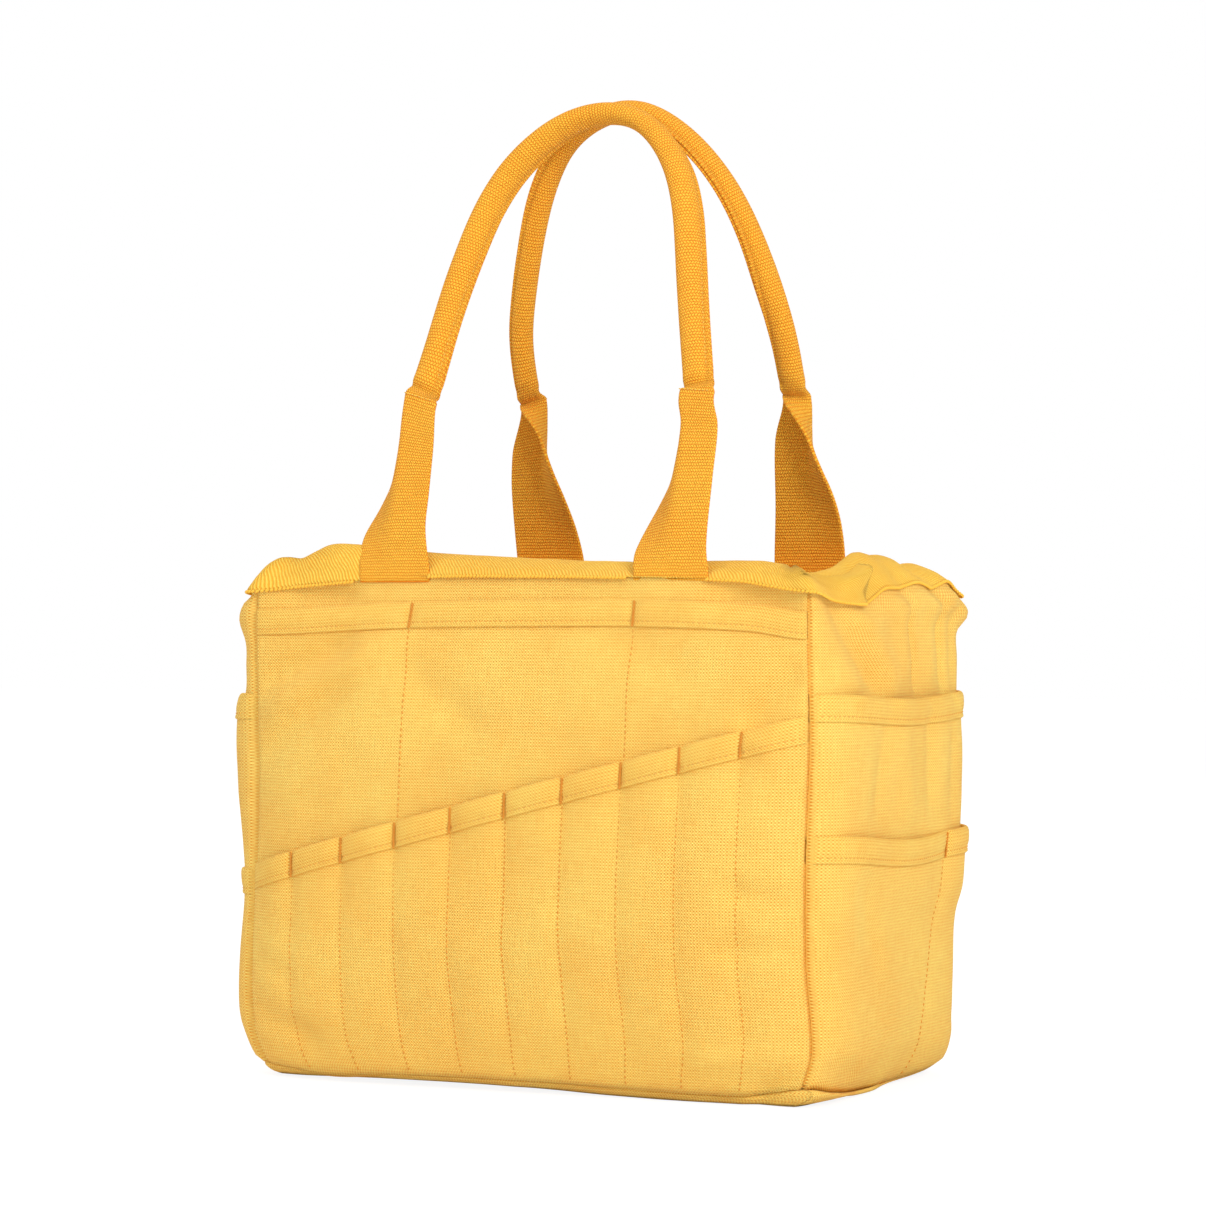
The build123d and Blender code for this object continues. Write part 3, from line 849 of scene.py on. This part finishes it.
def stitch_row(bm, place, start, end, pitch=stitch_pitch, long=0.66, thick=0.38, slant=0.0):
    """A row of stitches along place(f), f from start to end in mm. place gives (point, outward normal)."""
    count = max(1, int((end - start) / pitch))
    step = (end - start) / count
    for k in range(count):
        middle = start + (k + 0.5) * step
        point, normal = place(middle)
        ahead, _ = place(middle + 0.4)
        along = (ahead - point).normalized()
        side = normal.cross(along).normalized()
        normal = along.cross(side).normalized()
        if slant:
            along = (along * cos(slant) + side * sin(slant)).normalized()
            side = normal.cross(along).normalized()
        turn = Matrix((along, side, normal)).transposed().to_4x4()
        size = Matrix.Diagonal((pitch * long / 2 * MM, thick * MM, thick * MM, 1))
        matrix = Matrix.Translation(point * MM) @ turn @ size
        bmesh.ops.create_uvsphere(bm, u_segments=6, v_segments=4, radius=1.0, matrix=matrix)


def stitches(name, rows, body="bag", material=seam_thread, nodes=(), slot="thread"):
    """Rows of stitches as one piece."""
    bm = bmesh.new()
    for row in rows:
        part = bmesh.new()
        stitch_row(part, **row)
        sewn = bpy.data.meshes.new("row")
        part.to_mesh(sewn)
        part.free()
        bm.from_mesh(sewn)
        bpy.data.meshes.remove(sewn)
    dress(finish_mesh(name, bm), body, slot, material, *nodes)


def divider_row(pocket, t, low, high, extra=0.12, **kind):
    """Stitches up one divider of a pocket."""
    def place(f):
        return pocket.point(pocket.seam_at(t, f), f, extra), OUT[pocket.wall]
    return dict(place=place, start=low, end=high, **kind)


def hem_row(pocket):
    """Stitches along the lower edge of a pocket's tape."""
    half = HALF[pocket.wall]

    def place(f):
        t = clamp(f / half, -1, 1)
        z = pocket.top(t) - hem + 2.6
        return pocket.point(t, z, 0.85 * pocket.pinch(t, z) + 0.1), OUT[pocket.wall]
    return dict(place=place, start=-half + 2, end=half - 2)


def rope_rows(wall):
    """The tape's corded lower edge, between the handles' tails."""
    start, end = ROPE_ENDS[wall][0] - HALF[wall], ROPE_ENDS[wall][1] + HALF[wall]

    def place(f):
        edge = rim_point(wall, f, 0.0, 0.9 + lap(wall, f))
        beyond = edge - rim_point(wall, f, 0.0, lap(wall, f) - 0.1)
        return edge + Vector((0, 0, -0.3)), beyond.normalized()
    spans = [(start, end)]
    if wall in (FRONT, BACK):
        outer, inner = tail_place + webbing_width / 2 + 1, tail_place - webbing_width / 2 - 1
        spans = [(start, -outer), (-inner, inner), (outer, end)]
    return [dict(place=place, start=a, end=b, **CORDED_EDGE) for a, b in spans]


# ---- handles ----
LEAN = {FRONT: radians(19.9), BACK: radians(13.2)}
GRIP = {  # the grip's middle line in the handle's own plane, drawn on the front
    FRONT: [(-74.5, 97), (-72, 115), (-67.8, 148), (-62.6, 174), (-56.4, 197), (-45.2, 219), (-25, 238),
            (-1, 244.8), (21, 238.6), (40, 218), (51, 192), (57.6, 162), (63.6, 134), (70.7, 103),
            (72.5, 97)],
    BACK: [(-74.5, 97), (-72.5, 122), (-66.5, 150), (-58.5, 178), (-46.5, 204), (-26.5, 227.8), (0, 241),
           (32, 229.5), (49.5, 206), (60, 179), (68, 150), (72.5, 126), (71, 97)],
}
SPIN = {  # how far the grip's seam has come round from the inside of the loop, in half turns
    FRONT: [(0, 0), (0.14, 0.03), (0.5, 0.5), (0.86, 0.97), (1, 1)],
    BACK: [(0, 0), (0.08, 0.06), (0.22, 0.38), (0.5, 0.5), (0.8, 0.88), (1, 1)],
}
GIRTH = {  # how full the grip is along its length
    FRONT: [(0, 1.04), (0.1, 1.0), (0.3, 0.98), (0.5, 0.98), (1, 1)],
    BACK: [(0, 0.86), (0.5, 0.82), (1, 0.78)],
}
CREASE = {  # (left tail's, right tail's) fold line by height in the handle's plane
    FRONT: ([(0, -69.5), (4, -70), (28, -77), (45, -78.5), (70, -80.5), (97, -83)],
            [(0, 75), (4, 74.5), (19, 71), (51, 69), (79, 67.5), (90, 64), (97, 63.5)]),
    BACK: ([(0, -72), (11, -72.5), (40, -76), (64, -78), (79, -80), (97, -82)],
           [(0, 71), (16, 71), (50, 70), (67, 68), (82, 65), (97, 63)]),
}
TURN = {  # how far the tail's rear half is folded back on its front half, in degrees
    FRONT: ([(0, 0), (10, 3), (22, 15), (38, 38), (50, 52), (62, 66), (75, 96), (86, 136), (93, 172),
             (97, 180)],
            [(0, 0), (10, 3), (22, 20), (38, 42), (50, 56), (64, 72), (77, 102), (87, 140), (93, 172),
             (97, 180)]),
    BACK: ([(0, 0), (14, 0), (30, 13), (40, 24), (50, 36), (60, 50), (68, 60), (74, 68), (80, 80),
            (86, 100), (91, 130), (95, 172), (97, 180)],) * 2,
}
ASKEW = {FRONT: (0.30, 0.08), BACK: (-0.05, 0.25)}  # how far each end's tack drops toward +X, per mm
strap_columns = 24
tail_length = 97.0
layer = 0.97  # from the middle of the folded webbing to the middle of each of its two layers
grip_middle = 3.9
tail_middle = -1.35


def handle_point(side, x, q, up):
    """A point in a handle's own plane, leaned in over the mouth and turned to its wall."""
    end = 0 if x < 0 else 1
    near_tack = ease((up - 45) / 50) * ease((135 - up) / 36)
    up -= ASKEW[side][end] * (abs(x) - tail_place) * (1 if x > 0 else -1) * near_tack
    lean = LEAN[side]
    point = Vector((
        x,
        -half_depth + q * cos(lean) + up * sin(lean),
        seam_level - q * sin(lean) + up * cos(lean),
    ))
    return point if side == FRONT else Vector((-point.x, -point.y, point.z))


def distances(points):
    """How far each point of a line is from its start, along the line."""
    lengths = [0.0]
    for a, b in zip(points, points[1:]):
        lengths.append(lengths[-1] + (b - a).length)
    return lengths


def grip_line(side):
    """Evenly spaced places and directions along the grip's middle line, and its length."""
    marks = [Vector(mark) for mark in GRIP[side]]
    between, smoothings, samples = 12, 30, 120
    dense = []
    for i in range(len(marks) - 1):
        p0, p1, p2, p3 = (marks[clamp(k, 0, len(marks) - 1)] for k in range(i - 1, i + 3))
        for j in range(between):
            f = j / between
            twice = 2 * p1 + (p2 - p0) * f
            twice += (2 * p0 - 5 * p1 + 4 * p2 - p3) * f**2
            twice += (3 * p1 - p0 - 3 * p2 + p3) * f**3
            dense.append(0.5 * twice)
    dense.append(marks[-1])
    for _ in range(smoothings):
        inner = [(a + 2 * b + c) / 4 for a, b, c in zip(dense, dense[1:], dense[2:])]
        dense = [dense[0], *inner, dense[-1]]
    lengths = distances(dense)
    line = []
    for k in range(samples + 1):
        goal = lengths[-1] * k / samples
        passed = max(j for j in range(len(lengths)) if lengths[j] <= goal + 1e-9)
        i = clamp(passed, 0, len(dense) - 2)
        f = (goal - lengths[i]) / (lengths[i + 1] - lengths[i])
        line.append(dense[i].lerp(dense[i + 1], f))
    ways = [(line[min(k + 1, samples)] - line[max(k - 1, 0)]).normalized() for k in range(samples + 1)]
    return line, ways, lengths[-1]


def beside(side, point, way, inside, rear):
    """A point inside a place on the grip's middle line and at a depth to the rear."""
    spot = point + Vector((way.y, -way.x)) * inside
    return handle_point(side, spot.x, rear, spot.y)


def folded_section(w, plump):
    """The folded webbing's middle at w across it, its fold at 0: (towards the edges, to the rear)."""
    s, sign = abs(w), 1 if w > 0 else -1
    tube = 0.84  # the share of each half that is on the round part, and the rest is the sewn flange
    middle, radius, root, flange = -1.3, 5.8, 5.73, 2.7
    if s <= tube:
        angle = pi * s / tube * 0.95
        a = middle - radius * cos(angle)
        b = (1.0 + 3.3 * plump) * sin(angle) ** (0.5 + 0.4 * plump) if s > 0 else 0.0
        return a, sign * max(b, layer * min(1.0, s / 0.08))
    return middle + root + flange * (s - tube) / (1 - tube), sign * layer


def tail_section(side, end, up):
    """Points across one flat tail: its front half, then its rear half turning back at the fold."""
    fold_x = through(up, CREASE[side][end])
    turned = radians(through(up, TURN[side][end]))
    half = webbing_width / 2 * (1 - (0.02 if side == FRONT else 0.2) * ease((up - 72) / 22))
    bend = 3.2 + 6.0 * ease((80 - up) / 30)
    steps = 8
    fine = strap_columns * steps
    # the rear half lies a little inside the front one
    behind = 1 - 0.16 * ease((up - 62) / 14) * ease((98 - up) / 8)
    x, q, along = fold_x + half, tail_middle, -half
    points = []
    for k in range(fine + 1):
        if k % steps == 0:
            points.append(handle_point(side, x, q, up))
        along += 2 * half / fine
        angle = turned * ease((along + bend / 2) / bend)
        stride = 2 * half / fine * (behind if along > 0 else 1.0)
        x -= stride * cos(angle)
        q += stride * sin(angle)
    return points[::-1] if end else points


def strap(side, line, ways, long):
    """Rows of points along a handle's webbing: a flat tail, the folded grip, and the other tail."""
    tail_rows = 44
    across = [k / strap_columns * 2 - 1 for k in range(strap_columns + 1)]
    ups = [1.0 + (tail_length - 2.0) * k / (tail_rows - 1) for k in range(tail_rows)]
    rows = [tail_section(side, 0, up) for up in ups]
    for k, (point, way) in enumerate(zip(line, ways)):
        f = k / (len(line) - 1)
        beta = pi * through(f, SPIN[side])
        along_mm = min(f, 1 - f) * long
        plump = ease((along_mm - 1.8) / 6.5)
        narrow = through(f, GIRTH[side])
        dent = 4.4 * exp(-(((along_mm - 2.4) / 1.9) ** 2))
        settle = ease(along_mm / 9)
        middle = tail_middle + layer + (grip_middle - tail_middle - layer) * settle + dent
        row = []
        for w in across:
            a, b = folded_section(w, plump)
            inside = a * narrow * cos(beta) - b * sin(beta)
            rear = a * sin(beta) + b * cos(beta)
            row.append(beside(side, point, way, inside, middle + rear))
        rows.append(row)
    return rows + [tail_section(side, 1, up) for up in reversed(ups)]


def handle_strap(side, line, ways, long):
    """A handle's webbing, in one length."""
    rows = strap(side, line, ways, long)
    lengths = distances([row[strap_columns // 2] for row in rows])

    def place(s, v):
        return station(station(rows, v), s), ((s - 0.5) * webbing_width, station(lengths, v))

    piece = thicken(sheet_mesh(f"{side}_handle_strap", strap_columns, len(rows) - 1, place), webbing, side=0)
    smoothing = piece.modifiers.new("rounding", "SUBSURF")
    smoothing.levels = smoothing.render_levels = 1
    dress(piece, f"{side}_handle", "webbing", webbing_cloth, f"{side}_handle_webbing")


def handle_cord(side, line, ways, long):
    """The cord inside a grip."""
    radius, girth, facets = 2.6, 16.0, 12
    inside = range(3, len(line) - 3)

    def place(s, v):
        k = station(inside, v)
        angle = 2 * pi * round(s * facets) / facets
        inward, rear = radius * cos(angle) - 0.4, grip_middle + radius * sin(angle)
        return beside(side, line[k], ways[k], inward, rear), (s * girth, v * long)

    core = closed_mesh(f"{side}_handle_cord", facets, len(inside) - 1, place)
    dress(core, f"{side}_handle", "cord", cord_cloth, f"{side}_handle_core")


def handle_stitches(side, line, ways, long):
    """The tacks across a grip's two ends, and the stitches along its edge, on both faces."""
    rows = []
    for crease_line in CREASE[side]:
        middle = through(95, crease_line) + 8.3

        def tack(f, middle=middle):
            out = handle_point(side, 0, -1, 0) - handle_point(side, 0, 0, 0)
            return handle_point(side, middle + f, tail_middle - webbing / 2 - 0.15, 95.2), out
        rows.append(dict(place=tack, **GRIP_TACK))
    for face in (-1, 1):
        def seam(f, face=face):
            share = clamp(f / long)
            k = share * (len(line) - 1)
            i = min(int(k), len(line) - 2)
            point, way = line[i].lerp(line[i + 1], k - i), ways[i]
            beta = pi * through(share, SPIN[side])
            a, b = 4.7 * through(share, GIRTH[side]), face * (layer + webbing / 2 + 0.1)
            off, back = -b * sin(beta), b * cos(beta)
            rear = grip_middle + a * sin(beta) + back
            place = beside(side, point, way, a * cos(beta) + off, rear)
            middle = beside(side, point, way, off, grip_middle + back)
            return place, (middle - beside(side, point, way, 0, grip_middle)).normalized()
        rows.append(dict(place=seam, start=12.0, end=long - 12.0))
    stitches(f"{side}_handle_stitches", rows, f"{side}_handle", webbing_thread, (f"{side}_handle_tacks",))


def sewn_tails(side):
    """The ends of a handle's webbing, turned down and sewn inside the wall."""
    caught = 12.0
    pieces = []
    for middle in (-tail_place, tail_place):
        def place(s, v, middle=middle):
            t = (middle + (s - 0.5) * webbing_width) / HALF[side]
            z = seam_height(side, t) - (caught + 0.5) + caught * v
            point = bag_point(side, t, z, -canvas - 0.35 - 0.5 * sin(pi * v))
            return point, ((s - 0.5) * webbing_width, v * caught)

        pieces.append(sheet_mesh("tail", 16, 6, place))
    bm = bmesh.new()
    for piece in pieces:
        bm.from_mesh(piece.data)
        bpy.data.objects.remove(piece)
    tails = thicken(finish_mesh(f"{side}_sewn_tails", bm), webbing)
    dress(tails, "bag", "webbing", webbing_cloth, f"{side}_handle_sewn_tails")


# ---- put together ----
base_cloth()
for wall in WALLS:
    wall_panel(wall)
    rim_tape(wall)
for wall in WALLS:
    seam_tape(wall)
base_tape()
for pocket in POCKETS:
    pocket.cloth()
    pocket.hem_tape()

stitches("hem_stitches", [hem_row(pocket) for pocket in POCKETS], material=hem_thread)
dividers = [(front_slant, t) for t in slot_seams[1:-1]] + [(front_wide, t) for t in wide_dividers]
dividers += [(back_wide, 0), (right_lower, side_divider), (left_lower, -side_divider)]
divider_rows, tack_rows = [], []
for pocket, t in dividers:
    top = pocket.top(t)
    foot = slant_top(t) if pocket is front_wide else foot_height(pocket.wall, t)
    divider_rows.append(divider_row(pocket, t, foot + 2, top - hem - 0.5))
    proud = 2.0 if pocket is front_slant else 1.3
    tack_rows.append(divider_row(pocket, t, top - hem, top + 0.6, extra=proud, **BAR_TACK))
stitches("divider_stitches", divider_rows)
stitches("bar_tacks", tack_rows, nodes=("pocket_bar_tacks",))
cord_rows = [row for wall in WALLS for row in rope_rows(wall)]
stitches("rim_cord_edge", cord_rows, material=rim_cloth, slot="rim_tape")

for side in (FRONT, BACK):
    grip = grip_line(side)
    handle_strap(side, *grip)
    handle_cord(side, *grip)
    handle_stitches(side, *grip)
    sewn_tails(side)

# ---- floor, light and camera ----
white = (1, 1, 1, 1)
bm = bmesh.new()
bmesh.ops.create_grid(bm, x_segments=1, y_segments=1, size=8.0)
floor = finish_mesh("floor", bm, smooth=False)
floor_paint, n, shader = new_material("pale floor")
shader.inputs["Base Color"].default_value = (0.9, 0.9, 0.9, 1)
shader.inputs["Roughness"].default_value = 0.9
glow = n.add("ShaderNodeEmission")
glow.inputs["Color"].default_value = white
glow.inputs["Strength"].default_value = 1.12
path = n.add("ShaderNodeLightPath")
blend = n.add("ShaderNodeMixShader")
n.link(n.math("MULTIPLY", path.outputs["Is Camera Ray"], 0.8), blend.inputs[0])
n.link(shader.outputs[0], blend.inputs[1])
n.link(glow.outputs[0], blend.inputs[2])
n.link(blend.outputs[0], n.tree.nodes["Material Output"].inputs["Surface"])
floor.data.materials.append(floor_paint)

world = bpy.data.worlds.new("studio")
bpy.context.scene.world = world
world.use_nodes = True
n = Nodes(world.node_tree)
background = world.node_tree.nodes["Background"]
path = n.add("ShaderNodeLightPath")
n.link(n.math("MULTIPLY_ADD", path.outputs["Is Camera Ray"], 0.4, 0.6), background.inputs["Strength"])
background.inputs["Color"].default_value = white


def softbox(name, place, size, power):
    lamp = bpy.data.lights.new(name, "AREA")
    lamp.shape = "SQUARE"
    lamp.size = size
    lamp.energy = power
    obj = bpy.data.objects.new(name, lamp)
    obj.location = place
    aim = Vector((0, 0, 0.2)) - Vector(place)  # at the bag's middle
    obj.rotation_euler = aim.to_track_quat("-Z", "Y").to_euler()
    bpy.context.scene.collection.objects.link(obj)


softbox("window light", (2.1, -1.7, 1.4), 1.0, 45)
softbox("top light", (-0.6, -0.8, 2.4), 1.8, 14)
softbox("left fill", (-1.9, -2.0, 1.2), 1.4, 4)
softbox("back fill", (-1.6, 2.3, 1.5), 1.8, 26)

view_turn, view_far, view_height = 0.464, 1.88484, 0.22086
aside, rising = 0.00049, 0.00315  # how far the camera looks past the bag's upright axis, and up
camera_data = bpy.data.cameras.new("camera")
camera_data.lens = 116.5
camera_data.sensor_width = 36.0
camera = bpy.data.objects.new("camera", camera_data)
camera.location = (view_far * sin(view_turn), -view_far * cos(view_turn), view_height)
look = Vector((-sin(view_turn + aside), cos(view_turn + aside), rising))
camera.rotation_euler = look.to_track_quat("-Z", "Y").to_euler()
camera_data.clip_start, camera_data.clip_end = 0.05, 50
bpy.context.scene.collection.objects.link(camera)
bpy.context.scene.camera = camera
bpy.context.scene.view_settings.view_transform = "Standard"
